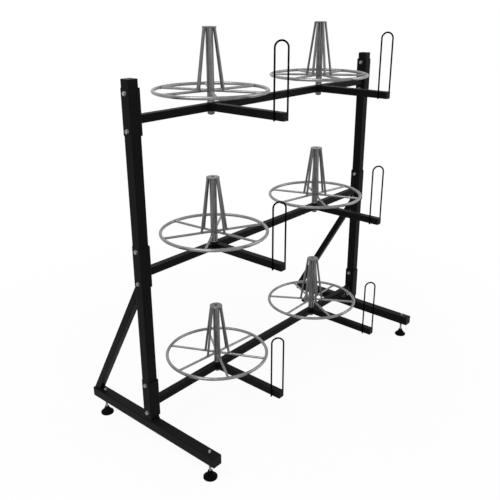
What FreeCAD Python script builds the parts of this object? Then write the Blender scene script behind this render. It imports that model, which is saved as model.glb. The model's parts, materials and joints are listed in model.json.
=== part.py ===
import FreeCAD, Part
import math
import os
import re
import Sketcher
from FreeCAD import Placement, Rotation, Vector

# Cable reel rack: two side frames of square tube on levelling feet, three crossbeams bolted
# between them, and on each beam two turntable reels with a guide hoop on an arm in front.
# Origin: on the floor, midway between the side frames, on the posts' centre plane.
# +X points to the right-hand side frame, +Y to the braces at the back, +Z up. Millimetres.

# Driving dimensions, millimetres. Heights are above the floor unless a comment says otherwise.
SIZES = {
    # side frames
    "frame_width": 1740.0,       # between the posts' centre planes
    "post_section": 50.0,        # outside of the square tube of posts and base rails
    "post_wall": 3.0,
    "post_corner": 4.0,          # outside corner radius
    "post_above": 158.0,         # post's tube above the upper beam's centre line
    "rail_bottom": 86.0,         # underside of the base rails
    "rail_length": 860.0,
    "brace_section": 35.0,
    "brace_wall": 2.5,
    "brace_corner": 3.0,
    "brace_clearance": 1.0,      # from the brace's trimmed top up to the middle bracket
    "brace_land": 8.6,           # depth of that trimmed top behind the post
    # crossbeams and arms
    "beam_section": 35.0,
    "beam_wall": 2.5,
    "beam_corner": 3.0,
    "beam_low": 223.0,           # centre line of the lower beam
    "beam_pitch": 669.0,         # from one beam to the next
    "arm_reach": 426.0,          # from the beam's centre line to the front of the arm's tube
    # U-shaped end brackets that wrap the posts
    "bracket_plate": 5.0,
    "bracket_height": 190.0,
    "bracket_drop": 64.0,        # from the beam's centre line down to the bracket's lower edge
    "bracket_setback": 3.0,      # free edges stop this far short of the post's outer face
    "bracket_gap": 0.25,         # between a flange and the post
    "bracket_bend": 6.0,         # outside radius of the bends
    # bracket bolts
    "bolt_diameter": 10.0,
    "bolt_hole_gap": 0.5,        # radial, in the posts and brackets
    "bolt_edge": 20.0,           # from the bracket's upper and lower edges
    "bolt_flats": 16.0,
    "bolt_head": 6.4,
    "bolt_spare": 4.0,           # thread that shows past the nut
    "washer_outer": 20.0,
    "washer_thick": 2.0,
    "nut_thick": 8.4,
    "thread_gap": 0.05,          # radial, between a bolt and its nut or washer
    # plastic end plugs
    "plug_lip": 3.0,
    "plug_depth": 14.0,
    "plug_wall": 2.0,
    "plug_gap": 0.2,
    "plug_chamfer": 1.2,
    # levelling feet
    "foot_front_inset": 45.0,    # from the base rail's front end
    "foot_rear_inset": 66.0,     # from its rear end, clear of the brace
    "foot_radius": 32.5,
    "foot_rim": 8.0,
    "foot_neck": 11.0,           # radius of the pad's top
    "foot_shoulder": 30.4,       # where the pad's cone meets its neck
    "foot_height": 38.0,
    "foot_ease": 2.0,            # chamfers above the rim and under the neck
    "foot_sole_edge": 1.0,       # chamfer round the sole
    "foot_socket": 24.0,         # depth of the stud in the pad
    "stud_diameter": 12.0,
    "stud_spare": 10.0,          # stud that shows above the base rail
    "stud_gap": 0.5,             # radial, in the base rail
    "stud_fit": 0.08,            # radial, in the foot nut
    "foot_nut_flats": 19.0,
    "foot_nut_thick": 10.0,
    # reels; heights are above the beam's centre line
    "reel_offset": 416.0,        # from the rack's middle to the reel's axis
    "ring_radius": 266.0,        # outside of the ring
    "ring_bar": 16.0,
    "ring_height": 72.0,         # centre plane of the ring and spokes
    "spoke_bar": 12.0,
    "leg_bar": 12.0,
    "leg_foot": 64.0,            # radius at which a leg's centre line meets the spokes' plane
    "cone_height": 343.0,        # top of the top disc
    "disc_radius": 32.0,
    "disc_thick": 5.0,
    "disc_hole": 7.0,            # radius of the hole in the top disc
    "hub_outer": 33.7,
    # reel axles
    "pin_diameter": 26.0,
    "pin_fit": 0.08,             # radial running fit of the hub on the pin
    "pin_top": 300.0,            # above the beam's centre line
    "pin_chamfer": 3.0,
    "collar_outer": 34.0,
    "collar_thick": 5.0,
    "thrust_thick": 2.0,
    "hub_float": 0.3,            # axial play over the thrust washer
    "tail_diameter": 20.0,       # threaded end that passes down through the beam
    "tail_gap": 0.25,
    "tail_chamfer": 1.0,
    "tail_spare": 3.0,
    "axle_nut_flats": 30.0,
    "axle_nut_thick": 16.0,
    # guide hoops
    "hoop_bar": 8.0,
    "hoop_height": 300.0,        # bar centre at the top, above the beam's centre line
    "hoop_rear_leg": 43.0,       # set back from the arm's front end
    "hoop_front_leg": 6.0,
    "hoop_drop": 2.5,            # leg ends that show below the arm
}

# How far each reel happens to be turned in the rest pose, degrees.
REEL_TURN = {
    "lower_left": 56.0, "lower_right": 2.0,
    "middle_left": 35.0, "middle_right": 50.0,
    "upper_left": 50.0, "upper_right": 4.0,
}
LEVELS = ("lower", "middle", "upper")
SIDES = {"left": -1, "right": 1}
SPOKES = 6
TOUCH = 1e-3  # two places closer than this are the same
ALIGNED = math.cos(math.radians(2.0))  # directions closer than two degrees are the same
FACE_SHARE = 0.97  # a hexagon's flat face inside its chamfer, as a share of its width across flats
CORNER_PAST = 1.3  # a radius clear of the hexagon's corners, as a share of half that width
CHAMFER_RISE = "tan(30 deg)"

# Places that follow from the driving dimensions.
HALF_POST = "post_section / 2"
HALF_BEAM = "beam_section / 2"
RAIL_TOP = "(rail_bottom + post_section)"
WEB_FACE = "(post_section / 2 + bracket_plate)"
DISC_UNDERSIDE = "(cone_height - disc_thick)"
HUB_BOTTOM = "(beam_section / 2 + collar_thick + thrust_thick + hub_float)"
LEG_TOP = "(disc_radius - leg_bar / 2)"
FOOT_FRONT = "(rail_length / 2 - foot_front_inset)"
FOOT_REAR = "(rail_length / 2 - foot_rear_inset)"


def beam_height(level):
    """The centre line of a beam above the floor."""
    return f"(beam_low + {LEVELS.index(level)} * beam_pitch)"


POST_TOP = f"({beam_height('upper')} + post_above)"

doc = FreeCAD.newDocument("cable_reel_rack")
sheet = doc.addObject("Spreadsheet::Sheet", "sizes")
for row, (name, size) in enumerate(SIZES.items(), start=1):
    sheet.set(f"A{row}", name)
    sheet.set(f"B{row}", str(size))
    sheet.setAlias(f"B{row}", name)
doc.recompute()

nodes = {}


def formula(text):
    """The same formula with every size name read from the sheet."""
    return re.sub(r"[a-z_]+", lambda word: f"sizes.{word[0]}" if word[0] in SIZES else word[0], text)


def value(text):
    """The number that a formula gives now."""
    return float(sheet.evalExpression(formula(text)))


def keep(label, piece):
    """Name a finished sub-part after its file."""
    piece.Label = label
    nodes[label] = piece
    return piece


def new_body(name):
    body = doc.addObject("PartDesign::Body", name)
    body.AllowCompound = True
    return body


def new_sketch(body, role, height="0"):
    """A sketch on one of the body's own planes, raised from it by a formula."""
    sketch = body.newObject("Sketcher::SketchObject", f"{body.Name}_sketch")
    plane = next(feature for feature in body.Origin.OriginFeatures if feature.Role == role)
    sketch.AttachmentSupport = [(plane, "")]
    sketch.MapMode = "FlatFace"
    if height != "0":
        sketch.setExpression("AttachmentOffset.Base.z", formula(height))
    return sketch


def hold_point(sketch, line, end, x, y):
    """Place one end of a line, or a circle's centre, by two formulas."""
    for kind, axis, text in (("DistanceX", -2, x), ("DistanceY", -1, y)):
        if text == "0":
            sketch.addConstraint(Sketcher.Constraint("PointOnObject", line, end, axis))
        else:
            rule = Sketcher.Constraint(kind, -1, 1, line, end, value(text))
            sketch.setExpression(f"Constraints[{sketch.addConstraint(rule)}]", formula(text))


def polygon(sketch, corners):
    """A closed outline through corners that are pairs of formulas."""
    points = [Vector(value(x), value(y), 0) for x, y in corners]
    first = sketch.GeometryCount
    count = len(corners)
    for i in range(count):
        sketch.addGeometry(Part.LineSegment(points[i], points[(i + 1) % count]), False)
    for i in range(count):
        sketch.addConstraint(Sketcher.Constraint("Coincident", first + i, 2, first + (i + 1) % count, 1))
    for i, (x, y) in enumerate(corners):
        hold_point(sketch, first + i, 1, x, y)


def square(sketch, half):
    polygon(sketch, [(f"-{half}", f"-{half}"), (half, f"-{half}"), (half, half), (f"-{half}", half)])


def circle(sketch, x, y, radius):
    centre = Vector(value(x), value(y), 0)
    index = sketch.addGeometry(Part.Circle(centre, Vector(0, 0, 1), value(radius)), False)
    hold_point(sketch, index, 3, x, y)
    rule = Sketcher.Constraint("Radius", index, value(radius))
    sketch.setExpression(f"Constraints[{sketch.addConstraint(rule)}]", formula(radius))


def hexagon(sketch, flats):
    """A regular hexagon given by its width across the flats."""
    side = f"({flats}) / 2 / sqrt(3)"
    half = f"({flats}) / 2"
    polygon(sketch, [(half, f"-{side}"), (half, side), ("0", f"2 * {side}"),
                     (f"-{half}", side), (f"-{half}", f"-{side}"), ("0", f"-2 * {side}")])


def pad(body, sketch, length, both_ways=False, back=False):
    feature = body.newObject("PartDesign::Pad", f"{body.Name}_pad")
    feature.Profile = sketch
    feature.setExpression("Length", formula(length))
    feature.Midplane = both_ways
    feature.Reversed = back
    doc.recompute()
    return feature


def cut(body, sketch, length=None, back=False, both_ways=False):
    """Cut a sketch through everything both ways, or by a length along its normal or about its plane."""
    before = body.Shape.Volume
    feature = body.newObject("PartDesign::Pocket", f"{body.Name}_pocket")
    feature.Profile = sketch
    feature.Midplane = both_ways or length is None
    if length is None:
        feature.Type = "ThroughAll"
    else:
        feature.setExpression("Length", formula(length))
        feature.Reversed = not back
    doc.recompute()
    if not body.Shape.Volume < before - TOUCH:
        raise RuntimeError(f"{feature.Name} cuts nothing")
    return feature


def turn(body, sketch, kind="Revolution", axis="V_Axis"):
    """Revolve a sketch about one of its own axes, or groove with it."""
    feature = body.newObject(f"PartDesign::{kind}", f"{body.Name}_{kind.lower()}")
    feature.Profile = sketch
    feature.ReferenceAxis = (sketch, [axis])
    feature.Angle = 360.0
    doc.recompute()
    return feature


def ring_pattern(body, originals, count):
    """Repeat features around the body's Z axis."""
    feature = body.newObject("PartDesign::PolarPattern", f"{body.Name}_pattern")
    z_axis = next(item for item in body.Origin.OriginFeatures if item.Role == "Z_Axis")
    feature.Originals = originals
    feature.Axis = (z_axis, [""])
    feature.Angle = 360.0
    feature.Occurrences = count
    body.Tip = feature
    doc.recompute()
    return feature


def round_edges(body, base, radius, chosen, kind="Fillet"):
    """Fillet or chamfer the edges of base that the test picks out."""
    names = [f"Edge{i}" for i, edge in enumerate(base.Shape.Edges, start=1) if chosen(edge)]
    if not names:
        raise RuntimeError(f"{base.Name} has no edge to round")
    feature = body.newObject(f"PartDesign::{kind}", f"{body.Name}_{kind.lower()}")
    feature.Base = (base, names)
    feature.setExpression("Radius" if kind == "Fillet" else "Size", formula(radius))
    doc.recompute()
    return feature


def upright(edge):
    """True for a straight edge along the body's Z axis."""
    return isinstance(edge.Curve, Part.Line) and abs(edge.tangentAt(edge.FirstParameter).z) > ALIGNED


def corner_distance(edge):
    """How far an upright edge stands from the Z axis, along X or Y."""
    point = edge.CenterOfMass
    return max(abs(point.x), abs(point.y))


def at(x, y, z, rotation=None):
    """A place: three formulas and a rotation."""
    return (x, y, z), rotation or Rotation()


def put(piece, place):
    """Set a piece at a place and bind it to the sheet."""
    corner, rotation = place
    piece.Placement = Placement(Vector(*(value(text) for text in corner)), rotation)
    for axis, text in zip("xyz", corner):
        piece.setExpression(f"Placement.Base.{axis}", formula(text))


def square_tube(name, section, wall, corner, length, place):
    """A square tube with rounded corners, along its own Z axis from its own origin."""
    body = new_body(name)
    sketch = new_sketch(body, "XY_Plane")
    square(sketch, f"({section} / 2)")
    square(sketch, f"({section} / 2 - {wall})")
    tube = pad(body, sketch, length)
    middle = value(f"({section} - {wall}) / 2")
    outside = round_edges(body, tube, corner, lambda e: upright(e) and corner_distance(e) > middle)
    round_edges(body, outside, f"{corner} - {wall}", lambda e: upright(e) and corner_distance(e) < middle)
    put(body, place)
    return body


def tube_holes(body, holes):
    """Holes right through a tube along its own X axis, each a place along the tube and a radius."""
    sketch = new_sketch(body, "YZ_Plane")
    for along, radius in holes:
        circle(sketch, "0", along, radius)
    cut(body, sketch)


def assemble(label, pieces):
    """One sub-part made of separate solids, each a master piece set at its own place."""
    links = []
    for index, (master, place) in enumerate(pieces, start=1):
        link = doc.addObject("App::Link", f"{label}_{index}")
        link.LinkedObject = master
        put(link, place)
        links.append(link)
    group = doc.addObject("Part::Compound", label)
    group.Links = links
    return keep(label, group)


def copies(label, master, places):
    """One sub-part made of copies of the same piece."""
    return assemble(label, [(master, place) for place in places])


def bolt_heights(level):
    """The two bolt heights of a bracket, above the floor."""
    foot = f"({beam_height(level)} - bracket_drop)"
    return f"({foot} + bolt_edge)", f"({foot} + bracket_height - bolt_edge)"


ALONG_X = Rotation(Vector(0, 1, 0), 90)
ALONG_Y = Rotation(Vector(1, 1, 1), -120)
FORWARD = Rotation(Vector(1, 0, 0), 90)
HALF_TURN = Rotation(Vector(0, 0, 1), 180)


# Side frames

def base_rail(side):
    """Square tube along Y with a pair of through holes for the levelling feet."""
    x = f"{SIDES[side]} * frame_width / 2"
    place = at(x, "-rail_length / 2", f"rail_bottom + {HALF_POST}", ALONG_Y)
    body = square_tube(f"{side}_base_rail", "post_section", "post_wall", "post_corner", "rail_length", place)
    radius = "(stud_diameter / 2 + stud_gap)"
    tube_holes(body, [("foot_front_inset", radius), ("rail_length - foot_rear_inset", radius)])
    keep(f"{side}_base_rail", body)


def post(side):
    """Upright tube that stands on the base rail, cross-drilled for the bracket bolts."""
    place = at(f"{SIDES[side]} * frame_width / 2", "0", RAIL_TOP)
    body = square_tube(f"{side}_post", "post_section", "post_wall", "post_corner",
                       f"({POST_TOP} - {RAIL_TOP})", place)
    radius = "(bolt_diameter / 2 + bolt_hole_gap)"
    tube_holes(body, [(f"({z} - {RAIL_TOP})", radius) for level in LEVELS for z in bolt_heights(level)])
    keep(f"{side}_post", body)


BRACE_RISE = f"({beam_height('middle')} - bracket_drop - brace_clearance - {RAIL_TOP})"
BRACE_HEAD = f"({HALF_POST} + brace_land)"
BRACE_RUN = f"(rail_length / 2 - {BRACE_HEAD})"
BRACE_SPAN = f"sqrt({BRACE_RISE} ^ 2 + {BRACE_RUN} ^ 2)"


def brace_back(depth, height):
    """How far back a line at a depth below the brace's upper face is, at a height over the rail."""
    return (f"(rail_length / 2 - ({depth}) * {BRACE_SPAN} / {BRACE_RISE}"
            f" - ({height}) * {BRACE_RUN} / {BRACE_RISE})")


def brace_rise(depth, back):
    """The height over the rail at which that line is at a distance behind the posts' centre plane."""
    return (f"({BRACE_RISE} - ({depth}) * {BRACE_SPAN} / {BRACE_RUN}"
            f" - (({back}) - {BRACE_HEAD}) * {BRACE_RISE} / {BRACE_RUN})")


def brace(side):
    """Slanted tube, cut level on the base rail, upright against the post and level under the bracket."""
    body = new_body(f"{side}_brace")
    sketch = new_sketch(body, "YZ_Plane")
    polygon(sketch, [("rail_length / 2", "0"), (BRACE_HEAD, BRACE_RISE), (HALF_POST, BRACE_RISE),
                     (HALF_POST, brace_rise("brace_section", HALF_POST)),
                     (brace_back("brace_section", "0"), "0")])
    solid = pad(body, sketch, "brace_section", both_ways=True)
    along = Vector(0, -value(BRACE_RUN), value(BRACE_RISE)).normalize()
    round_edges(body, solid, "brace_corner",
                lambda e: abs(e.tangentAt(e.FirstParameter).dot(along)) > ALIGNED)
    bore = new_sketch(body, "YZ_Plane")
    inner = "(brace_section - brace_wall)"
    past = "(2 * brace_wall)"
    ahead = f"({HALF_POST} - {past})"
    polygon(bore, [(brace_back("brace_wall", f"-{past}"), f"-{past}"),
                   (ahead, brace_rise("brace_wall", ahead)), (ahead, brace_rise(inner, ahead)),
                   (brace_back(inner, f"-{past}"), f"-{past}")])
    cut(body, bore, "brace_section - 2 * brace_wall", both_ways=True)
    put(body, at(f"{SIDES[side]} * frame_width / 2", "0", RAIL_TOP))
    keep(f"{side}_brace", body)


# Crossbeams, arms and end brackets

def crossbeam(level):
    """Tube between the bracket webs, bored for the two axle tails."""
    half = f"(frame_width / 2 - {WEB_FACE})"
    body = square_tube(f"{level}_beam", "beam_section", "beam_wall", "beam_corner", f"(2 * {half})",
                       at(f"-{half}", "0", beam_height(level), ALONG_X))
    radius = "(tail_diameter / 2 + tail_gap)"
    tube_holes(body, [(f"({half} - reel_offset)", radius), (f"({half} + reel_offset)", radius)])
    keep(f"{level}_beam", body)


def arm(level, side):
    """Tube that butts on the beam's front face and reaches out to the guide hoop."""
    body = square_tube(f"{level}_{side}_arm", "beam_section", "beam_wall", "beam_corner",
                       f"(arm_reach - {HALF_BEAM})",
                       at(f"{SIDES[side]} * reel_offset", f"-{HALF_BEAM}", beam_height(level), FORWARD))
    keep(f"{level}_{side}_arm", body)


def bracket_master():
    """U bent from plate: its web lies on the post's inner face, its flanges front and back."""
    body = new_body("bracket_master")
    sketch = new_sketch(body, "XY_Plane")
    lip = f"-({HALF_POST} - bracket_setback)"
    inside = f"({HALF_POST} + bracket_gap)"
    outside = f"({inside} + bracket_plate)"
    polygon(sketch, [(lip, f"-{outside}"), (WEB_FACE, f"-{outside}"), (WEB_FACE, outside), (lip, outside),
                     (lip, inside), (HALF_POST, inside), (HALF_POST, f"-{inside}"), (lip, f"-{inside}")])
    plate = pad(body, sketch, "bracket_height")
    bend = value(WEB_FACE) - TOUCH
    bent = round_edges(body, plate, "bracket_bend", lambda e: upright(e) and e.CenterOfMass.x > bend)
    web = value(HALF_POST)
    round_edges(body, bent, "bracket_bend - bracket_plate",
                lambda e: upright(e) and abs(e.CenterOfMass.x - web) < TOUCH)
    holes = new_sketch(body, "YZ_Plane")
    radius = "(bolt_diameter / 2 + bolt_hole_gap)"
    circle(holes, "0", "bolt_edge", radius)
    circle(holes, "0", "bracket_height - bolt_edge", radius)
    cut(body, holes)
    return body


# Fasteners, each drawn along its own Z axis with its seat at its own origin

def chamfered_hexagon(body, flats, thick, both_ends):
    """Hexagon prism whose corners are turned off to a shallow cone."""
    sketch = new_sketch(body, "XY_Plane")
    hexagon(sketch, flats)
    pad(body, sketch, thick)
    rim = f"({flats} / 2 * {FACE_SHARE})"
    past = f"({flats} / 2 * {CORNER_PAST})"
    depth = f"(({past} - {rim}) * {CHAMFER_RISE})"
    ends = [(thick, f"{thick} - {depth}")]
    if both_ends:
        ends.append(("0", depth))
    for face, flank in ends:
        outline = new_sketch(body, "XZ_Plane")
        polygon(outline, [(rim, face), (past, face), (past, flank)])
        turn(body, outline, "Groove")


def bolt_master():
    """Hexagon head above the seat, shank below it."""
    body = new_body("bolt_master")
    chamfered_hexagon(body, "bolt_flats", "bolt_head", False)
    shank = new_sketch(body, "XY_Plane")
    circle(shank, "0", "0", "bolt_diameter / 2")
    length = "(2 * washer_thick + post_section + bracket_plate + nut_thick + bolt_spare)"
    stem = pad(body, shank, length, back=True)
    end = -value(length)
    round_edges(body, stem, "bolt_diameter / 10",
                lambda e: abs(e.CenterOfMass.z - end) < TOUCH, "Chamfer")
    return body


def nut_master(name, flats, thick, bore):
    """Nut with its seat at the origin."""
    body = new_body(name)
    chamfered_hexagon(body, flats, thick, True)
    hole = new_sketch(body, "XY_Plane")
    circle(hole, "0", "0", bore)
    cut(body, hole)
    return body


def washer_master(name, outer, thick, bore):
    body = new_body(name)
    sketch = new_sketch(body, "XY_Plane")
    circle(sketch, "0", "0", f"{outer} / 2")
    circle(sketch, "0", "0", bore)
    pad(body, sketch, thick)
    return body


def plug_master(name, section, wall, corner):
    """Moulded end plug: a lip with the tube's own outline and a hollow skirt that fits inside the tube."""
    body = new_body(name)
    lip = new_sketch(body, "XY_Plane")
    square(lip, f"({section} / 2)")
    cap = pad(body, lip, "plug_lip")
    rounded = round_edges(body, cap, corner, upright)
    top = value("plug_lip") - TOUCH
    round_edges(body, rounded, "plug_chamfer", lambda e: e.CenterOfMass.z > top, "Chamfer")
    skirt = new_sketch(body, "XY_Plane")
    square(skirt, f"({section} / 2 - {wall} - plug_gap)")
    square(skirt, f"({section} / 2 - {wall} - plug_gap - plug_wall)")
    tube = pad(body, skirt, "plug_depth", back=True)
    inside = value(f"{section} / 2 - {wall} - plug_gap - plug_wall / 2")
    round_edges(body, tube, f"{corner} - {wall}",
                lambda e: upright(e) and e.CenterOfMass.z < 0 and corner_distance(e) > inside)
    return body


# Reels

def hub_master():
    """Tube that turns on the axle pin, from the thrust washer up to the top disc."""
    body = new_body("hub_master")
    sketch = new_sketch(body, "XY_Plane", HUB_BOTTOM)
    circle(sketch, "0", "0", "hub_outer / 2")
    circle(sketch, "0", "0", "pin_diameter / 2 + pin_fit")
    pad(body, sketch, f"({DISC_UNDERSIDE} - {HUB_BOTTOM})")
    return body


def ring_master():
    """Round bar rolled into the reel's outer ring."""
    body = new_body("ring_master")
    sketch = new_sketch(body, "XZ_Plane")
    circle(sketch, "ring_radius - ring_bar / 2", "ring_height", "ring_bar / 2")
    turn(body, sketch)
    return body


def spokes_master():
    """Spokes coped to the hub tube at one end and to the ring's bar at the other."""
    body = new_body("spokes_master")
    sketch = new_sketch(body, "YZ_Plane")
    circle(sketch, "0", "ring_height", "spoke_bar / 2")
    spoke = pad(body, sketch, "ring_radius - ring_bar / 2")
    ring_pattern(body, [spoke], SPOKES)
    core = new_sketch(body, "XY_Plane")
    circle(core, "0", "0", "hub_outer / 2")
    cut(body, core)
    bar = new_sketch(body, "XZ_Plane")
    circle(bar, "ring_radius - ring_bar / 2", "ring_height", "ring_bar / 2")
    turn(body, bar, "Groove")
    return body


def legs_master():
    """Slanted legs from spokes to top disc, each turned about its own centre line and coped on its spoke."""
    body = new_body("legs_master")
    slant = f"(({LEG_TOP} - leg_foot) / ({DISC_UNDERSIDE} - ring_height))"
    over = "leg_bar"
    spread = f"(leg_bar / 2 * sqrt(1 + {slant} ^ 2))"
    low, high = f"(ring_height - {over})", f"({DISC_UNDERSIDE} + {over})"
    low_x = f"(leg_foot - {slant} * {over})"
    high_x = f"({LEG_TOP} + {slant} * {over})"
    sketch = new_sketch(body, "XZ_Plane")
    polygon(sketch, [(low_x, low), (f"{low_x} + {spread}", low),
                     (f"{high_x} + {spread}", high), (high_x, high)])
    axis = sketch.addGeometry(Part.LineSegment(Vector(value(low_x), value(low), 0),
                                               Vector(value(high_x), value(high), 0)), True)
    sketch.addConstraint(Sketcher.Constraint("Coincident", axis, 1, 0, 1))
    sketch.addConstraint(Sketcher.Constraint("Coincident", axis, 2, 3, 1))
    leg = turn(body, sketch, axis="Axis0")
    ring_pattern(body, [leg], SPOKES)
    above_spoke = "(ring_height + spoke_bar / 6)"  # inside the spoke's upper half, which the saddle takes
    for height, back in ((DISC_UNDERSIDE, False), (above_spoke, True)):
        plane = new_sketch(body, "XY_Plane", height)
        circle(plane, "0", "0", "2 * leg_foot")
        cut(body, plane, "3 * leg_bar", back)
    saddle = new_sketch(body, "YZ_Plane")
    circle(saddle, "0", "ring_height", "spoke_bar / 2")
    ring_pattern(body, [cut(body, saddle)], SPOKES)
    return body


def disc_master():
    """Top disc that closes the cone, with the lifting hole in its middle."""
    body = new_body("disc_master")
    sketch = new_sketch(body, "XY_Plane", DISC_UNDERSIDE)
    circle(sketch, "0", "0", "disc_radius")
    circle(sketch, "0", "0", "disc_hole")
    plate = pad(body, sketch, "disc_thick")
    top = value("cone_height") - TOUCH
    hole = value("disc_hole") + TOUCH
    round_edges(body, plate, "disc_thick / 4",
                lambda e: e.CenterOfMass.z > top and e.Curve.Radius > hole, "Chamfer")
    return body


def pin_master():
    """Turned axle: chamfered journal, collar on the beam and a threaded tail through it."""
    body = new_body("pin_master")
    sketch = new_sketch(body, "XZ_Plane")
    journal, collar, tail = "pin_diameter / 2", "collar_outer / 2", "tail_diameter / 2"
    seat = f"({HALF_BEAM})"
    shoulder = f"({HALF_BEAM} + collar_thick)"
    end = f"-({HALF_BEAM} + axle_nut_thick + tail_spare)"
    polygon(sketch, [("0", end), (f"{tail} - tail_chamfer", end), (tail, f"{end} + tail_chamfer"),
                     (tail, seat), (collar, seat), (collar, shoulder), (journal, shoulder),
                     (journal, "pin_top - pin_chamfer"), (f"{journal} - pin_chamfer", "pin_top"),
                     ("0", "pin_top")])
    turn(body, sketch)
    return body


# Guide hoops

HOOP_ACROSS = "(beam_section + hoop_bar)"
HOOP_ALONG = "(hoop_rear_leg - hoop_front_leg)"
HOOP_RADIUS = f"(sqrt({HOOP_ACROSS} ^ 2 + {HOOP_ALONG} ^ 2) / 2)"


def hoop_master():
    """Round bar bent to a narrow inverted U whose legs are welded on both sides of the arm."""
    body = new_body("hoop_master")
    path = new_sketch(body, "XZ_Plane")
    low, high = f"-({HALF_BEAM} + hoop_drop)", f"(hoop_height - {HOOP_RADIUS})"
    bend = Part.Circle(Vector(0, value(high), 0), Vector(0, 0, 1), value(HOOP_RADIUS))
    corners = ((-1, low), (-1, high), (1, high), (1, low))
    ends = [Vector(x * value(HOOP_RADIUS), value(y), 0) for x, y in corners]
    path.addGeometry(Part.LineSegment(ends[0], ends[1]), False)
    path.addGeometry(Part.ArcOfCircle(bend, 0, math.pi), False)
    path.addGeometry(Part.LineSegment(ends[2], ends[3]), False)
    path.addConstraint(Sketcher.Constraint("Coincident", 0, 2, 1, 2))
    path.addConstraint(Sketcher.Constraint("Coincident", 1, 1, 2, 1))
    hold_point(path, 0, 1, f"-{HOOP_RADIUS}", low)
    hold_point(path, 0, 2, f"-{HOOP_RADIUS}", high)
    hold_point(path, 2, 1, HOOP_RADIUS, high)
    hold_point(path, 2, 2, HOOP_RADIUS, low)
    middle = Sketcher.Constraint("DistanceY", -1, 1, 1, 3, value(high))
    path.setExpression(f"Constraints[{path.addConstraint(middle)}]", formula(high))
    end = new_sketch(body, "XY_Plane", low)
    circle(end, f"-{HOOP_RADIUS}", "0", "hoop_bar / 2")
    doc.recompute()
    pipe = body.newObject("PartDesign::AdditivePipe", "hoop_pipe")
    pipe.Profile = end
    pipe.Spine = (path, [f"Edge{i + 1}" for i in range(3)])
    doc.recompute()
    return body


def hoop_place(level, side):
    """Over the arm's front end, its left leg set further back than its right."""
    skew = Rotation(Vector(0, 0, 1), -math.degrees(math.atan2(value(HOOP_ALONG), value(HOOP_ACROSS))))
    return at(f"{SIDES[side]} * reel_offset", "(hoop_rear_leg + hoop_front_leg) / 2 - arm_reach",
              beam_height(level), skew)


# Levelling feet

def foot_pad_master():
    """Moulded pad: flat rim, conical top and a blind socket for the stud."""
    body = new_body("foot_pad_master")
    sketch = new_sketch(body, "XZ_Plane")
    socket = "stud_diameter / 2"
    floor = "(foot_height - foot_socket)"
    polygon(sketch, [("0", "0"), ("foot_radius - foot_sole_edge", "0"), ("foot_radius", "foot_sole_edge"),
                     ("foot_radius", "foot_rim - foot_ease"), ("foot_radius - foot_ease", "foot_rim"),
                     ("foot_neck + foot_ease", "foot_shoulder"),
                     ("foot_neck", "foot_shoulder + foot_ease"), ("foot_neck", "foot_height"),
                     (socket, "foot_height"), (socket, floor), ("0", floor)])
    turn(body, sketch)
    return body


def foot_stud_master():
    """Threaded stud from the pad's socket up through both walls of the base rail."""
    body = new_body("foot_stud_master")
    floor = "(foot_height - foot_socket)"
    top = f"({RAIL_TOP} + stud_spare)"
    sketch = new_sketch(body, "XY_Plane", floor)
    circle(sketch, "0", "0", "stud_diameter / 2")
    stem = pad(body, sketch, f"({top} - {floor})")
    end = value(top) - TOUCH
    round_edges(body, stem, "stud_diameter / 10", lambda e: e.CenterOfMass.z > end, "Chamfer")
    return body


# The side frames
for side in SIDES:
    base_rail(side)
    post(side)
    brace(side)

# The beams and what is welded to them
for level in LEVELS:
    crossbeam(level)
    for side in SIDES:
        arm(level, side)

FACING = {"left": Rotation(), "right": HALF_TURN}
copies("post_brackets", bracket_master(), [
    at(f"{sign} * frame_width / 2", "0", f"{beam_height(level)} - bracket_drop", FACING[side])
    for level in LEVELS for side, sign in SIDES.items()])

# Bolts pass inwards through each post and its bracket's web, with a washer at both ends
bolt = bolt_master()
washer = washer_master("washer_master", "washer_outer", "washer_thick", "bolt_diameter / 2 + thread_gap")
nut = nut_master("nut_master", "bolt_flats", "nut_thick", "bolt_diameter / 2 + thread_gap")
OUTWARD = {"left": Rotation(Vector(0, 1, 0), -90), "right": ALONG_X}
INWARD = {"left": ALONG_X, "right": Rotation(Vector(0, 1, 0), -90)}
bolts, washers, nuts = [], [], []
for side, sign in SIDES.items():
    outer_face = f"(frame_width / 2 + {HALF_POST})"
    inner_face = f"(frame_width / 2 - {WEB_FACE})"
    for level in LEVELS:
        for z in bolt_heights(level):
            washers.append(at(f"{sign} * {outer_face}", "0", z, OUTWARD[side]))
            bolts.append(at(f"{sign} * ({outer_face} + washer_thick)", "0", z, OUTWARD[side]))
            washers.append(at(f"{sign} * {inner_face}", "0", z, INWARD[side]))
            nuts.append(at(f"{sign} * ({inner_face} - washer_thick)", "0", z, INWARD[side]))
copies("bracket_bolts", bolt, bolts)
copies("bracket_washers", washer, washers)
copies("bracket_nuts", nut, nuts)

# End plugs of the posts, base rails and arms
tube_plug = plug_master("tube_plug_master", "post_section", "post_wall", "post_corner")
arm_plug = plug_master("arm_plug_master", "beam_section", "beam_wall", "beam_corner")
BACKWARD = Rotation(Vector(1, 0, 0), -90)
rail_middle = f"(rail_bottom + {HALF_POST})"
plug_places = []
for sign in SIDES.values():
    x = f"{sign} * frame_width / 2"
    plug_places.append(at(x, "0", POST_TOP))
    plug_places.append(at(x, "-rail_length / 2", rail_middle, FORWARD))
    plug_places.append(at(x, "rail_length / 2", rail_middle, BACKWARD))
copies("tube_end_plugs", tube_plug, plug_places)
copies("arm_end_plugs", arm_plug, [
    at(f"{sign} * reel_offset", "-arm_reach", beam_height(level), FORWARD)
    for level in LEVELS for sign in SIDES.values()])

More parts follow.
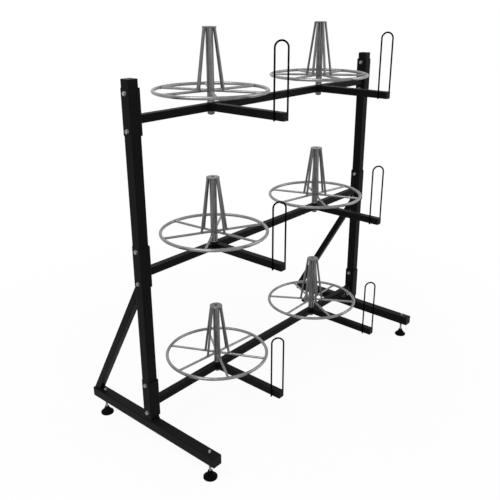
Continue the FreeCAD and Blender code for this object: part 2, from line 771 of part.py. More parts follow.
# Axles, reels and guide hoops, two of each on every beam
hub, ring, spokes = hub_master(), ring_master(), spokes_master()
legs, disc, pin = legs_master(), disc_master(), pin_master()
hoop = hoop_master()
thrust = washer_master("thrust_master", "collar_outer", "thrust_thick", "pin_diameter / 2 + pin_fit")
axle_nut = nut_master("axle_nut_master", "axle_nut_flats", "axle_nut_thick",
                      "tail_diameter / 2 + thread_gap")
axle_places, thrust_places, axle_nut_places = [], [], []
for level in LEVELS:
    for side, sign in SIDES.items():
        name = f"{level}_{side}"
        x, z = f"{sign} * reel_offset", beam_height(level)
        turned = at(x, "0", z, Rotation(Vector(0, 0, 1), REEL_TURN[name]))
        assemble(f"{name}_reel_hub", [(hub, turned)])
        assemble(f"{name}_reel_ring", [(ring, turned)])
        assemble(f"{name}_reel_spokes", [(spokes, turned)])
        assemble(f"{name}_reel_cone", [(legs, turned), (disc, turned)])
        assemble(f"{name}_guide_hoop", [(hoop, hoop_place(level, side))])
        axle_places.append(at(x, "0", z))
        thrust_places.append(at(x, "0", f"{z} + {HALF_BEAM} + collar_thick"))
        axle_nut_places.append(at(x, "0", f"{z} - {HALF_BEAM} - axle_nut_thick"))
copies("reel_axles", pin, axle_places)
copies("thrust_washers", thrust, thrust_places)
copies("axle_nuts", axle_nut, axle_nut_places)

# Levelling feet, with a nut welded under the base rail for each
foot_pad, foot_stud = foot_pad_master(), foot_stud_master()
foot_nut = nut_master("foot_nut_master", "foot_nut_flats", "foot_nut_thick",
                      "stud_diameter / 2 + stud_fit")
foot_nut_places = []
for end, y in (("front", f"-{FOOT_FRONT}"), ("rear", FOOT_REAR)):
    for side, sign in SIDES.items():
        x = f"{sign} * frame_width / 2"
        stands = at(x, y, "0")
        assemble(f"{end}_{side}_levelling_foot", [(foot_pad, stands), (foot_stud, stands)])
        foot_nut_places.append(at(x, y, "rail_bottom - foot_nut_thick"))
copies("foot_nuts", foot_nut, foot_nut_places)

doc.recompute()
for item in doc.Objects:
    if "Invalid" in item.State or "Error" in item.State:
        raise RuntimeError(f"{item.Name} failed: {item.State}")
os.makedirs("parts", exist_ok=True)
for label, piece in nodes.items():
    shape = piece.Shape
    if shape.isNull() or not shape.isValid() or not shape.Solids:
        raise RuntimeError(f"{label} has no valid solid")
    shape.exportStep(f"parts/{label}.step")
print(len(nodes), "sub-parts written")
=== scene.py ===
import json
import math
import random

import bpy
from mathutils import Matrix, Vector


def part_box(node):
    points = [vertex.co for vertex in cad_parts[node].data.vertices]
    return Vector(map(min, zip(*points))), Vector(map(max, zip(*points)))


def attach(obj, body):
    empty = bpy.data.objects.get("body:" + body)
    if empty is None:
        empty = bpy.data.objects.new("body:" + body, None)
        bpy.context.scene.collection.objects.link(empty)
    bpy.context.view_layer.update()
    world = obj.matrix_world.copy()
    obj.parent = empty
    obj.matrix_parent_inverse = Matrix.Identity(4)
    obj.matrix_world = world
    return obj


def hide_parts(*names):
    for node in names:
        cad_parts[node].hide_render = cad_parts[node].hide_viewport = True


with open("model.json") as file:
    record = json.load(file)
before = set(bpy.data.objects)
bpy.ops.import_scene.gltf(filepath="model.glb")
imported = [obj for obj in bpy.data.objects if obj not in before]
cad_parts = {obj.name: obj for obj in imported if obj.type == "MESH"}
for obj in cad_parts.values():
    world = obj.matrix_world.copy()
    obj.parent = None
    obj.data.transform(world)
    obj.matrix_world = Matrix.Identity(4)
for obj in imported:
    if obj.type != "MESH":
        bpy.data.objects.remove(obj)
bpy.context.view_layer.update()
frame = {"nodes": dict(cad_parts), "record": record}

MM = 0.001
dice = random.Random(7)     # gives the small unevenness of hand work, the same at every run


# Places and sizes read from the solids, in millimetres

def box_mm(node):
    """Lowest and highest corner of a solid at rest."""
    return [Vector([round(measure / MM, 3) for measure in corner]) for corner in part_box(node)]


def middle_mm(node):
    low, high = box_mm(node)
    return (low + high) / 2


SIDES = {"left": -1, "right": 1}
LEVELS = {level: middle_mm(f"{level}_beam").z for level in ("lower", "middle", "upper")}
FEET = {end: middle_mm(f"{end}_right_levelling_foot").y for end in ("front", "rear")}

post_low, post_high = box_mm("right_post")
rail_low, rail_high = box_mm("right_base_rail")
beam_low, beam_high = box_mm("upper_beam")
POST, POST_X = post_high.x - post_low.x, middle_mm("right_post").x
RAIL_LOW, RAIL_TOP, RAIL_END = rail_low.z, rail_high.z, rail_high.y
BEAM, BEAM_END = beam_high.z - beam_low.z, beam_high.x
BRACE_TOP = box_mm("right_brace")[1].z
STUD_TOP = box_mm("front_right_levelling_foot")[1].z
REEL_X = middle_mm("upper_right_arm").x

# Heights on a reel and its axle count from the centre line of the beam that carries them.
SPOKE_Z = middle_mm("upper_right_reel_ring").z - LEVELS["upper"]
DISC_Z = box_mm("upper_right_reel_hub")[1].z - LEVELS["upper"]
AXLE_TOP = box_mm("reel_axles")[1].z - LEVELS["upper"]
AXLE_END = box_mm("reel_axles")[0].z - LEVELS["lower"]

# Sizes of the solids that their boxes don't give, in millimetres and degrees
POST_CORNER, TUBE_CORNER = 4.0, 3.0
BRACE_FOOT_Y, BRACE_LOW_Z = 389.65, 771.7   # where the brace's lower face meets the rail and the post
HUB, RING_LINE, RING_BAR, SPOKE_BAR, LEG_BAR = 33.7, 258.0, 16.0, 12.0, 12.0
LEG_FOOT, LEG_TOP = 64.0, 26.0              # how far out a leg stands on the spokes and under the disc
LEG_SLANT = (LEG_TOP - LEG_FOOT) / (DISC_Z - SPOKE_Z)
COLLAR, COLLAR_HIGH = 34.0, 5.0
HOOP_BAR = 8.0
HOOP_LEGS = {-1: 383.0, 1: 420.0}           # side of the arm, and distance in front of the posts' plane
BOLT_BELOW, BOLT_ABOVE = 44.0, 106.0        # the two bolts of a bracket, from the beam's centre line
SPOKES = 6
# Turn of each reel's first spoke from +X
REEL_TURN = {"lower_left": 56.0, "lower_right": 2.0, "middle_left": 35.0, "middle_right": 50.0,
             "upper_left": 50.0, "upper_right": 4.0}


# Camera, in front of the left-hand side frame and above the top beam; metres and degrees

CAMERA_PLACE = Vector((-2.5011, -2.0516, 2.0141))
CAMERA_HEADING = 40.58      # view direction, counter-clockwise from +X
CAMERA_DOWN = 20.93
CAMERA_LENS, CAMERA_SENSOR = 46.13, 36.0    # millimetres
CAMERA_SHIFT = (-0.0117, -0.0124)
CAMERA_CLIP = (0.01, 100.0)


def add_camera():
    data = bpy.data.cameras.new("camera")
    data.sensor_width = CAMERA_SENSOR
    data.lens = CAMERA_LENS
    data.shift_x, data.shift_y = CAMERA_SHIFT
    data.clip_start, data.clip_end = CAMERA_CLIP
    camera = bpy.data.objects.new("camera", data)
    bpy.context.scene.collection.objects.link(camera)
    heading, down = math.radians(CAMERA_HEADING), math.radians(CAMERA_DOWN)
    level = math.cos(down)
    view = Vector((math.cos(heading) * level, math.sin(heading) * level, -math.sin(down)))
    camera.rotation_euler = view.to_track_quat("-Z", "Y").to_euler()
    camera.location = CAMERA_PLACE
    bpy.context.scene.camera = camera


# Node helpers

class Nodes:
    """A short way to write the node tree of a material or a world."""

    def __init__(self, owner):
        owner.use_nodes = True
        self.owner = owner
        self.tree = owner.node_tree

    def add(self, kind, inputs=None, **settings):
        node = self.tree.nodes.new(kind)
        for key, setting in settings.items():
            setattr(node, key, setting)
        for socket, source in (inputs or {}).items():
            self.feed(node.inputs[socket], source)
        return node

    def feed(self, socket, source):
        if isinstance(source, bpy.types.NodeSocket):
            self.tree.links.new(source, socket)
        else:
            socket.default_value = source

    def place(self, stretch=None):
        where = self.add("ShaderNodeTexCoord").outputs["Object"]
        if stretch is None:
            return where
        return self.add("ShaderNodeMapping", {"Vector": where, "Scale": stretch}).outputs["Vector"]

    def noise(self, scale, detail, where=None, roughness=0.5):
        inputs = {"Vector": where or self.place(), "Scale": scale, "Detail": detail,
                  "Roughness": roughness}
        return self.add("ShaderNodeTexNoise", inputs).outputs["Fac"]

    def span(self, source, low, high, start=0.0, end=1.0):
        """From the low value at the start to the high one at the end."""
        inputs = {"Value": source, "From Min": start, "From Max": end, "To Min": low, "To Max": high}
        return self.add("ShaderNodeMapRange", inputs).outputs["Result"]

    def mask(self, source, start, end):
        """Nothing up to the start and everything from the end on."""
        return self.span(source, 0.0, 1.0, start, end)

    def blend(self, factor, first, second):
        return self.add("ShaderNodeMix", {0: factor, 6: first, 7: second}, data_type="RGBA").outputs[2]

    def combine(self, operation, first, second):
        return self.add("ShaderNodeMath", {0: first, 1: second}, operation=operation).outputs[0]

    def bump(self, height, strength, distance):
        inputs = {"Height": height, "Strength": strength, "Distance": distance}
        return self.add("ShaderNodeBump", inputs).outputs["Normal"]

    def z_part(self, direction):
        return self.add("ShaderNodeSeparateXYZ", {0: direction}).outputs["Z"]

    def sees_background(self):
        """1 for the rays that see the plain white surround: camera, glossy and transmission rays."""
        path = self.add("ShaderNodeLightPath")
        seen = self.combine("MAXIMUM", path.outputs["Is Camera Ray"], path.outputs["Is Glossy Ray"])
        return self.combine("MAXIMUM", seen, path.outputs["Is Transmission Ray"])

    def finish(self, **sockets):
        """Feed the sockets of the material's shader; an underscore stands for a space."""
        shader = self.tree.nodes["Principled BSDF"]
        for name, source in sockets.items():
            self.feed(shader.inputs[name.replace("_", " ")], source)
        return self.owner


def grey(level, tint=(1.0, 1.0, 1.0)):
    return (level * tint[0], level * tint[1], level * tint[2], 1.0)


# Materials; level is the grey, gloss the roughness and shine the specular level

def powder_coat(name, level, gloss, shine):
    """Powder coat: fine orange peel, pale specks, rubbed spots and dust on upward faces."""
    m = Nodes(bpy.data.materials.new(name))
    peel = m.noise(scale=700.0, detail=2.0)
    cloud = m.noise(scale=6.0, detail=4.0)
    speck = m.mask(m.noise(scale=240.0, detail=4.0), start=0.69, end=0.75)
    upright = m.place(stretch=(1.0, 1.0, 0.25))
    rub = m.mask(m.noise(scale=2.2, detail=6.0, where=upright, roughness=0.65), start=0.6, end=0.75)
    up = m.z_part(m.add("ShaderNodeNewGeometry").outputs["Normal"])
    dust = m.span(up, low=0.0, high=0.05, start=0.6, end=1.0)
    colour = m.blend(m.mask(cloud, start=0.35, end=0.7), grey(level * 0.8), grey(level * 1.2))
    colour = m.blend(m.span(speck, low=0.0, high=0.5), colour, grey(level * 9.0, (1.0, 0.99, 0.96)))
    colour = m.blend(m.span(rub, low=0.0, high=0.5), colour, grey(level * 2.4))
    colour = m.blend(dust, colour, grey(0.03, (1.0, 0.98, 0.95)))
    rough = m.span(cloud, low=gloss - 0.06, high=gloss + 0.08, start=0.3, end=0.7)
    rough = m.combine("ADD", rough, m.span(rub, low=0.0, high=-0.12))
    return m.finish(Base_Color=colour, Roughness=rough, Specular_IOR_Level=shine,
                    Normal=m.bump(peel, strength=0.6, distance=0.0002))


def plated_steel(name, level, gloss, grain, metallic=1.0):
    """Zinc-plated steel: dull and bright patches and small dark marks; dull plating is less metallic."""
    m = Nodes(bpy.data.materials.new(name))
    where = m.place()
    patch = m.noise(scale=16.0, detail=5.0, where=where, roughness=0.62)
    fine = m.noise(scale=grain, detail=3.0, where=where)
    mark = m.noise(scale=85.0, detail=4.0, where=where, roughness=0.7)
    mark = m.mask(mark, start=0.64, end=0.72)
    dull, bright = grey(level * 0.72, (0.98, 0.99, 1.0)), grey(level * 1.15)
    colour = m.blend(m.mask(patch, start=0.3, end=0.72), dull, bright)
    colour = m.blend(m.span(mark, low=0.0, high=0.45), colour, grey(level * 0.4))
    rough = m.span(fine, low=gloss - 0.06, high=gloss + 0.1, start=0.3, end=0.7)
    rough = m.combine("ADD", rough, m.span(mark, low=0.0, high=0.15))
    return m.finish(Base_Color=colour, Metallic=metallic, Roughness=rough,
                    Normal=m.bump(fine, strength=0.3, distance=0.00015))


def moulded(name, level, gloss, shine, grain, tint=(1.0, 1.0, 1.0)):
    """Injection-moulded plastic with a fine spark-eroded grain."""
    m = Nodes(bpy.data.materials.new(name))
    fine = m.noise(scale=grain, detail=2.0)
    cloud = m.noise(scale=20.0, detail=3.0)
    dark, pale = grey(level * 0.85, tint), grey(level * 1.15, tint)
    colour = m.blend(m.mask(cloud, start=0.35, end=0.65), dark, pale)
    return m.finish(Base_Color=colour, Specular_IOR_Level=shine,
                    Roughness=m.span(fine, low=gloss - 0.08, high=gloss + 0.08),
                    Normal=m.bump(fine, strength=0.3, distance=0.0001))


FRAME_PAINT = powder_coat("frame_powder_coat", level=0.006, gloss=0.44, shine=0.04)
HOOP_PAINT = powder_coat("hoop_paint", level=0.0008, gloss=0.62, shine=0.01)
REEL_ZINC = plated_steel("reel_zinc", level=0.155, gloss=0.27, grain=260.0)
# Painted light: the rings and spokes are the same zinc as the reel, made lighter so that their bars look
# lit from above.
RING_ZINC_PAINTED_LIGHT = plated_steel("ring_zinc_painted_light", level=0.24, gloss=0.27, grain=260.0, metallic=0.7)
WELD_ZINC = plated_steel("weld_zinc", level=0.12, gloss=0.46, grain=400.0)
AXLE_STEEL = plated_steel("axle_steel", level=0.14, gloss=0.32, grain=400.0)
BOLT_ZINC = plated_steel("bolt_zinc", level=0.3, gloss=0.36, grain=500.0, metallic=0.6)
DARK_ZINC = plated_steel("dark_zinc", level=0.12, gloss=0.4, grain=500.0)
BLACK_NUT = plated_steel("black_nut", level=0.01, gloss=0.5, grain=500.0, metallic=0.2)
PLUG_PLASTIC = moulded("plug_plastic", level=0.006, gloss=0.45, shine=0.05, grain=1400.0)
FOOT_PLASTIC = moulded("foot_plastic", level=0.0015, gloss=0.6, shine=0.03, grain=1400.0)
NYLON = moulded("thrust_nylon", level=0.6, gloss=0.45, shine=0.5, grain=900.0, tint=(1.0, 0.97, 0.88))

SLOT_MATERIALS = {
    "frame_black": FRAME_PAINT, "hoop_black": HOOP_PAINT, "plug_black": PLUG_PLASTIC,
    "foot_black": FOOT_PLASTIC, "reel_zinc": REEL_ZINC, "axle_steel": AXLE_STEEL,
    "zinc_fastener": BOLT_ZINC, "dark_fastener": DARK_ZINC, "thrust_nylon": NYLON,
}


def dress(node, material):
    """Give a solid a procedural material in place of its plain one."""
    mesh = frame["nodes"][node].data
    mesh.materials.clear()
    mesh.materials.append(material)


def dress_solids():
    """Every solid gets its slot's finish; rings and spokes get a lighter zinc that holds painted light
    from above, and foot nuts have one of their own.
    """
    for part in frame["record"]["subparts"]:
        node = part["node"]
        dress(node, SLOT_MATERIALS[part["material_slot"]])
        # The rings and spokes take the lighter zinc, which holds painted light from above.
        if node.endswith(("_reel_ring", "_reel_spokes")):
            dress(node, RING_ZINC_PAINTED_LIGHT)
    dress("foot_nuts", BLACK_NUT)


# Stage and light; metres and watts

FLOOR_REACH = 30.0
FLOOR_TONE, FLOOR_BOUNCE = 0.9, 0.22        # the floor's grey as it is seen, and as it lights the rack
FLOOR_WHITE = 0.93                          # share of plain white near the rack; the rest takes shadow
SHADOW_REACH, SHADOW_END = 1.0, 2.6         # the shadow fades out between these distances
DOME_HORIZON, DOME_ZENITH = 0.1, 0.6
LAMP_AIM = Vector((0.0, 0.0, 0.9))
LAMPS = {                                   # place, side of the square lamp, power
    "key": ((-3.4, -0.6, 4.8), 2.6, 150.0),
    "fill": ((3.5, -3.2, 3.0), 3.0, 70.0),
    "rim": ((1.0, 4.0, 4.5), 3.0, 14.0),
}


def floor_material():
    """White that keeps a faint shadow near the rack and shows no edge far away."""
    m = Nodes(bpy.data.materials.new("floor"))
    m.tree.nodes.remove(m.tree.nodes["Principled BSDF"])
    away = m.add("ShaderNodeVectorMath", {0: m.place()}, operation="LENGTH").outputs["Value"]
    glow = m.span(away, FLOOR_WHITE, 1.0, SHADOW_REACH, SHADOW_END)
    seen = m.sees_background()
    tone = m.blend(seen, grey(FLOOR_BOUNCE), grey(FLOOR_TONE))
    matt = m.add("ShaderNodeBsdfDiffuse", {"Color": tone}).outputs[0]
    white = m.add("ShaderNodeEmission", {"Color": grey(1.0), "Strength": 1.0}).outputs[0]
    share = m.combine("MULTIPLY", seen, glow)
    mix = m.add("ShaderNodeMixShader", {0: share, 1: matt, 2: white}).outputs[0]
    m.feed(m.tree.nodes["Material Output"].inputs["Surface"], mix)
    return m.owner


def add_stage():
    mesh = bpy.data.meshes.new("floor")
    corners = [(x * FLOOR_REACH, y * FLOOR_REACH, 0.0) for x, y in ((-1, -1), (1, -1), (1, 1), (-1, 1))]
    mesh.from_pydata(corners, [], [(0, 1, 2, 3)])
    mesh.materials.append(floor_material())
    floor = bpy.data.objects.new("floor", mesh)
    bpy.context.scene.collection.objects.link(floor)


def add_world():
    """White round the rack; for the light on it, a dome that is bright overhead and dim at the horizon."""
    world = bpy.data.worlds.new("studio")
    bpy.context.scene.world = world
    m = Nodes(world)
    m.tree.nodes.clear()
    height = m.z_part(m.add("ShaderNodeTexCoord").outputs["Generated"])
    dome = m.span(height, DOME_HORIZON, DOME_ZENITH)
    light = m.add("ShaderNodeBackground", {"Color": grey(1.0), "Strength": dome}).outputs[0]
    white = m.add("ShaderNodeBackground", {"Color": grey(1.0), "Strength": 1.0}).outputs[0]
    mix = m.add("ShaderNodeMixShader", {0: m.sees_background(), 1: light, 2: white}).outputs[0]
    m.add("ShaderNodeOutputWorld", {"Surface": mix})


def add_lamps():
    for name, (place, side, watts) in LAMPS.items():
        data = bpy.data.lights.new(name, "AREA")
        data.shape = "SQUARE"
        data.size = side
        data.energy = watts
        lamp = bpy.data.objects.new(name, data)
        bpy.context.scene.collection.objects.link(lamp)
        lamp.location = place
        lamp.rotation_euler = (LAMP_AIM - Vector(place)).to_track_quat("-Z", "Y").to_euler()


# Mesh helpers; shapes are written in millimetres

class Shape:
    """Points and faces gathered for one mesh."""

    def __init__(self):
        self.points = []
        self.faces = []

    def grid(self, rows, loop=False, place=Matrix()):
        """Quads between rows of points; a loop joins the last row to the first."""
        start, width = len(self.points), len(rows[0])
        for row in rows:
            self.points.extend(place @ Vector(point) for point in row)
        for i in range(len(rows) if loop else len(rows) - 1):
            low, high = start + i * width, start + (i + 1) % len(rows) * width
            for j in range(width - 1):
                self.faces.append((low + j, low + j + 1, high + j + 1, high + j))

    def mesh(self, name, material, sharp):
        """Smooth mesh with sharp edges from an angle in degrees on."""
        data = bpy.data.meshes.new(name)
        data.from_pydata([point * MM for point in self.points], [], self.faces)
        data.validate()
        data.materials.append(material)
        data.shade_smooth()
        data.set_sharp_from_angle(angle=math.radians(sharp))
        return data


def add_piece(name, mesh, body, place=Matrix()):
    piece = bpy.data.objects.new(name, mesh)
    bpy.context.scene.collection.objects.link(piece)
    piece.matrix_world = place
    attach(piece, body)
    return piece


def at(x, y, z):
    return Matrix.Translation((x, y, z))


def along_z(x, y, z, direction):
    """Turns a shape's own Z axis to a direction and sets it at a point."""
    return at(x, y, z) @ Vector(direction).to_track_quat("Z", "Y").to_matrix().to_4x4()


def turns(steps):
    """Equal angles over one turn."""
    return [2 * math.pi * i / steps for i in range(steps)]


def around(profile, angle):
    """Points of (radius, height) pairs, turned to an angle about the Z axis."""
    return [(r * math.cos(angle), r * math.sin(angle), z) for r, z in profile]


def lathe(shape, profile, steps, place=Matrix()):
    """Revolve (radius, height) pairs about the Z axis."""
    shape.grid([around(profile, angle) for angle in turns(steps)], loop=True, place=place)


def hexagon_head(shape, flats, thick, place):
    """Forged hexagon head: corners turned off to a cone and a shallow dish in the top."""
    half, sixth = flats / 2, math.pi / 3
    rim = 0.97 * half
    dish_edge, dish_floor, dish_deep = 0.84 * rim, 0.76 * rim, 0.35
    cone = math.tan(math.radians(30))
    rows = []
    for angle in turns(steps=120):
        reach = half / math.cos(angle % sixth - sixth / 2)
        side = min(thick, thick - (reach - rim) * cone)
        profile = ((0.0, 0.0), (reach, 0.0), (reach, side), (rim, thick), (dish_edge, thick),
                   (dish_floor, thick - dish_deep), (0.0, thick - dish_deep))
        rows.append(around(profile, angle))
    shape.grid(rows, loop=True, place=place)


THREAD_STEPS = 24
THREAD_DEEP = 0.58          # of the pitch
THREAD_FORM = ((0.0, 0.0), (0.4, 1.0), (0.54, 1.0), (0.94, 0.0), (1.0, 0.0))    # share of a turn, rise


def thread(shape, radius, pitch, low, high, chamfer, place=Matrix()):
    """Helical thread between two heights: crests at the radius, both ends chamfered."""
    rows = []
    for i in range(int(((high - low) / pitch + 2) * THREAD_STEPS) + 1):
        row = []
        for share, rise in THREAD_FORM:
            z = min(max(low - pitch + (i / THREAD_STEPS + share) * pitch, low), high)
            end = radius - chamfer + min(z - low, high - z)
            row.append((min(radius - THREAD_DEEP * pitch * (1 - rise), end), z))
        rows.append(around(row, 2 * math.pi * i / THREAD_STEPS))
    shape.grid(rows, place=place)
    for z in (low, high):
        lathe(shape, [(0.0, z), (radius - chamfer, z)], THREAD_STEPS, place)


# Weld beads; a path is a list of (point, outward direction) pairs along the inside corner of a joint

RIPPLE = 2.2                                    # length of one ripple
RIPPLE_FORM = (0.86, 1.02, 1.1)                 # how full the bead is along a ripple
SWELL, SWELL_RATE, UNEVEN = 0.1, 0.35, 0.03     # slow swelling along the bead and its roughness
BEAD_END = 0.55                                 # how full the ends of an open bead are
BEAD_ARC = [math.radians(angle) for angle in (-95, -58, -20, 20, 58, 95)]
BEAD_STOPS = 6                                  # fewest steps along a bead


def resample(path, closed, step):
    """The same path in equal steps."""
    pairs = [(Vector(point), Vector(out)) for point, out in path]
    if closed:
        pairs.append(pairs[0])
    lengths = [(b[0] - a[0]).length for a, b in zip(pairs, pairs[1:])]
    count = max(BEAD_STOPS, round(sum(lengths) / step))
    result, index, done = [], 0, 0.0
    for i in range(count if closed else count + 1):
        along = sum(lengths) * i / count
        while index < len(lengths) - 1 and done + lengths[index] < along:
            done += lengths[index]
            index += 1
        share = (along - done) / lengths[index] if lengths[index] else 0.0
        (a, out_a), (b, out_b) = pairs[index], pairs[index + 1]
        result.append((a.lerp(b, share), out_a.lerp(out_b, share).normalized()))
    return result


def bead(shape, path, size, closed=True, place=Matrix()):
    """Weld bead with overlapping ripples."""
    per_ripple = len(RIPPLE_FORM)
    stops = resample(path, closed, RIPPLE / per_ripple)
    if closed:
        stops = stops[:len(stops) // per_ripple * per_ripple]
    rows = []
    wobble = dice.uniform(0.0, 6.0)
    for i, (point, out) in enumerate(stops):
        ahead = stops[(i + 1) % len(stops)][0] if closed or i + 1 < len(stops) else point
        behind = stops[i - 1][0] if closed or i else point
        across = (ahead - behind).cross(out).normalized()
        swell = SWELL * math.sin(wobble + SWELL_RATE * i / per_ripple) + dice.uniform(-UNEVEN, UNEVEN)
        end = BEAD_END if not closed and i in (0, len(stops) - 1) else 1.0
        radius = size * (1.0 + swell) * RIPPLE_FORM[i % per_ripple] * end
        rows.append([point + radius * (math.cos(angle) * out + math.sin(angle) * across)
                     for angle in BEAD_ARC])
    shape.grid(rows, loop=closed, place=place)


def square_weld(shape, side, corner, size, place):
    """Bead round a square tube that stands on a face; the face is the place's own XY plane."""
    flat = side / 2 - corner
    path = []
    for quarter, (sign_x, sign_y) in enumerate(((1, 1), (-1, 1), (-1, -1), (1, -1))):
        for third in range(4):
            angle = math.pi / 2 * (quarter + third / 3)
            x, y = math.cos(angle), math.sin(angle)
            path.append(((sign_x * flat + corner * x, sign_y * flat + corner * y, 0.0), (x, y, 1.0)))
    bead(shape, path, size, place=place)


def round_weld(shape, radius, size, place):
    """Bead round a bar that stands on a face."""
    path = []
    for angle in turns(steps=48):
        x, y = math.cos(angle), math.sin(angle)
        path.append(((radius * x, radius * y, 0.0), (x, y, 1.0)))
    bead(shape, path, size, place=place)


def three_sides(left, right, low, high):
    """Down the left flank of a square end, across its low side and up the right flank, in one plane."""
    edge = TUBE_CORNER
    return [((left, high), (-1, 0)), ((left, low + edge), (-1, 0)), ((left + edge, low), (0, -1)),
            ((right - edge, low), (0, -1)), ((right, low + edge), (1, 0)), ((right, high), (1, 0))]


def brace_welds(shape, x):
    """Beads at the brace's foot on the rail and at its head on the post."""
    size, foot_short, head_short = 2.6, 2.0, 3.0
    left, right = x - BEAM / 2, x + BEAM / 2
    foot = three_sides(left, right, BRACE_FOOT_Y, RAIL_END - foot_short)
    foot = [((x, y, RAIL_TOP), (out_x, out_y, 1)) for (x, y), (out_x, out_y) in foot]
    bead(shape, foot, size, closed=False)
    head = three_sides(left, right, BRACE_LOW_Z, BRACE_TOP - head_short)
    head = [((x, POST / 2, z), (out_x, 1, out_z)) for (x, z), (out_x, out_z) in head]
    bead(shape, head, size, closed=False)


def hoop_welds(shape, x, z):
    """Upright beads on both sides of each hoop leg, where it crosses the arm's flank."""
    size, aside, half_length = 1.9, 0.4 * HOOP_BAR, 15.0
    for hand, ahead in HOOP_LEGS.items():
        flank = x + hand * BEAM / 2
        for way in (-1, 1):
            y = way * aside - ahead
            ends = [(flank, y, z - half_length), (flank, y, z + half_length)]
            bead(shape, [(end, (hand, way, 0)) for end in ends], size, closed=False)


def frame_welds():
    """The beads of the side frames and of the crossbeams with their arms, collars and hoops."""
    shape = Shape()
    half, foot_nut = BEAM / 2, 10.2
    for sign in SIDES.values():
        x = sign * POST_X
        square_weld(shape, POST, POST_CORNER, size=3.0, place=at(x, 0.0, RAIL_TOP))
        brace_welds(shape, x)
        for y in FEET.values():
            round_weld(shape, foot_nut, size=2.0, place=along_z(x, y, RAIL_LOW, (0, 0, -1)))
    for z in LEVELS.values():
        for sign in SIDES.values():
            x = sign * REEL_X
            beam_end = along_z(sign * BEAM_END, 0.0, z, (-sign, 0, 0))
            square_weld(shape, BEAM, TUBE_CORNER, size=2.6, place=beam_end)
            square_weld(shape, BEAM, TUBE_CORNER, size=2.4, place=along_z(x, -half, z, (0, -1, 0)))
            round_weld(shape, COLLAR / 2, size=1.7, place=at(x, 0.0, z + half))
            hoop_welds(shape, x, z)
    return shape


def reel_welds():
    """All the beads of one reel, about the reel's own axis."""
    shape = Shape()
    bar, leg, hub, ring = SPOKE_BAR / 2, LEG_BAR / 2, HUB / 2, RING_BAR / 2
    lowest_rise = 2.0       # height above the spoke's axis at which the saddle under a leg ends

    def spoke_on_hub(angle):
        y, z = bar * math.sin(angle), bar * math.cos(angle)
        x = math.sqrt(hub ** 2 - y ** 2)
        return (x, y, SPOKE_Z + z), (x / hub, y / hub + y / bar, z / bar)

    def spoke_on_ring(angle):
        y, z = bar * math.sin(angle), bar * math.cos(angle)
        line = RING_LINE - math.sqrt(ring ** 2 - z ** 2)
        x = math.sqrt(line ** 2 - y ** 2)
        return (x, y, SPOKE_Z + z), ((line - RING_LINE) / ring, y / bar, z / ring + z / bar)

    def leg_on_spoke(angle):
        along, across = leg * math.cos(angle), leg * math.sin(angle)
        rise = max(lowest_rise, math.sqrt(bar ** 2 - across ** 2))
        point = (LEG_FOOT + LEG_SLANT * rise + along, across, SPOKE_Z + rise)
        return point, (math.cos(angle), math.sin(angle) + across / bar, rise / bar)

    def leg_on_disc(angle):
        x, y = math.cos(angle), math.sin(angle)
        return (LEG_TOP + leg * x, leg * y, DISC_Z), (x, y, -1.0)

    joints = {spoke_on_hub: 2.0, spoke_on_ring: 2.0, leg_on_spoke: 1.9, leg_on_disc: 1.5}
    for turn in turns(SPOKES):
        for joint, size in joints.items():
            path = [joint(angle) for angle in turns(steps=36)]
            bead(shape, path, size, place=Matrix.Rotation(turn, 4, "Z"))
    round_weld(shape, hub, size=1.8, place=along_z(0, 0, DISC_Z, (0, 0, -1)))
    return shape


# Pieces that stand for plainer solids

def bracket_bolts():
    """Twelve bolts with dished heads and threads that show past their nuts."""
    shape = Shape()
    shank, pitch, chamfer, thread_length = 5.0, 1.5, 1.0, 26.0
    flats, head, nut, past_nut = 16.0, 6.4, 8.4, 4.0
    washer, web = 2.0, 5.0
    end = -(2 * washer + POST + web + nut + past_nut)
    for sign in SIDES.values():
        for height in LEVELS.values():
            for z in (height - BOLT_BELOW, height + BOLT_ABOVE):
                place = along_z(sign * (POST_X + POST / 2 + washer), 0.0, z, (sign, 0, 0))
                place = place @ Matrix.Rotation(dice.uniform(0.0, math.pi / 3), 4, "Z")
                hexagon_head(shape, flats, head, place)
                lathe(shape, [(shank, 0.0), (shank, end + thread_length)], steps=32, place=place)
                thread(shape, shank, pitch, end, end + thread_length, chamfer, place)
    return shape


def foot_pad():
    """Moulded pad: a rim with a seam above the sole, a hollow slope and a neck with a bore."""
    shape = Shape()
    rim, seam, neck, bore, neck_top = 32.5, 32.0, 11.0, 6.0, 38.0
    slope_out, slope_low, slope_in, slope_high, sag = 30.2, 8.1, 12.6, 29.7, 1.21
    profile = [(0.0, 0.0), (rim - 1.2, 0.0), (rim - 0.4, 0.3), (rim, 1.1), (rim, 2.4), (seam, 2.7),
               (seam, 3.1), (rim, 3.4), (rim, 6.2), (rim - 0.4, 7.1), (rim - 1.2, 7.7),
               (slope_out, slope_low)]
    for share in (0.2, 0.4, 0.6, 0.8):
        z = slope_low + share * (slope_high - slope_low) - sag * math.sin(math.pi * share)
        profile.append((slope_out + share * (slope_in - slope_out), z))
    profile += [(slope_in, slope_high + 0.2), (neck + 0.6, 31.1), (neck, 32.6), (neck, neck_top - 0.7),
                (neck - 0.6, neck_top), (bore + 0.4, neck_top), (bore, neck_top - 0.4),
                (bore, neck_top - 4.0)]
    lathe(shape, profile, steps=72)
    return shape


def foot_stud():
    """Threaded from inside the pad's neck to its end above the base rail."""
    shape = Shape()
    radius, pitch, start, chamfer = 6.0, 1.75, 30.0, 1.2
    thread(shape, radius, pitch, start, STUD_TOP, chamfer)
    return shape


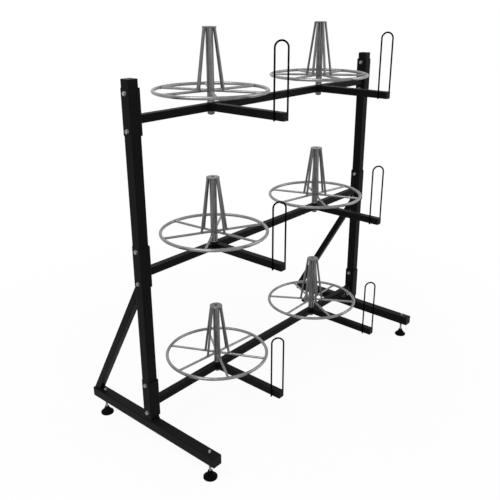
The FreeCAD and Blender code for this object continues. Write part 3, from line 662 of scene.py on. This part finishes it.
def reel_axles():
    """Six turned pins with their collars, centre-drilled on top and threaded below."""
    shape = Shape()
    half, collar, pin, tail = BEAM / 2, COLLAR / 2, 13.0, 10.0
    edge, point, drill, drill_deep = 0.6, 3.0, 2.0, 1.8
    shoulder, thread_top = half + COLLAR_HIGH, 1.5 - half
    pitch, chamfer = 2.5, 1.6
    outline = [(tail, thread_top), (tail, half), (collar - edge, half), (collar, half + edge),
               (collar, shoulder - edge), (collar - edge, shoulder), (pin, shoulder),
               (pin, AXLE_TOP - point), (pin - point, AXLE_TOP), (drill, AXLE_TOP),
               (0.0, AXLE_TOP - drill_deep)]
    for height in LEVELS.values():
        for sign in SIDES.values():
            place = at(sign * REEL_X, 0.0, height)
            lathe(shape, outline, steps=48, place=place)
            thread(shape, tail, pitch, AXLE_END, thread_top, chamfer, place)
    return shape


# The scene

bpy.context.scene.view_settings.view_transform = "Standard"
add_camera()
add_stage()
add_world()
add_lamps()
dress_solids()

frame_mesh = frame_welds().mesh("frame_weld_beads", FRAME_PAINT, sharp=60)
add_piece("frame_weld_beads", frame_mesh, "frame")

reel_mesh = reel_welds().mesh("reel_weld_beads", WELD_ZINC, sharp=60)
for level, height in LEVELS.items():
    for side, sign in SIDES.items():
        reel = f"{level}_{side}"
        place = at(sign * REEL_X * MM, 0.0, height * MM)
        place = place @ Matrix.Rotation(math.radians(REEL_TURN[reel]), 4, "Z")
        add_piece(f"{reel}_reel_weld_beads", reel_mesh, f"{reel}_reel", place)

bolt_mesh = bracket_bolts().mesh("threaded_bracket_bolts", BOLT_ZINC, sharp=28)
bolts = add_piece("threaded_bracket_bolts", bolt_mesh, "frame")
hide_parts("bracket_bolts")

axle_mesh = reel_axles().mesh("turned_reel_axles", AXLE_STEEL, sharp=28)
axles = add_piece("turned_reel_axles", axle_mesh, "frame")
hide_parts("reel_axles")

pad_mesh = foot_pad().mesh("foot_pad", FOOT_PLASTIC, sharp=40)
stud_mesh = foot_stud().mesh("foot_stud", BOLT_ZINC, sharp=60)
for end, y in FEET.items():
    for side, sign in SIDES.items():
        foot = f"{end}_{side}"
        place = at(sign * POST_X * MM, y * MM, 0.0)
        pad = add_piece(f"{foot}_foot_pad", pad_mesh, f"{foot}_foot", place)
        add_piece(f"{foot}_foot_stud", stud_mesh, f"{foot}_foot", place)
        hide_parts(f"{foot}_levelling_foot")
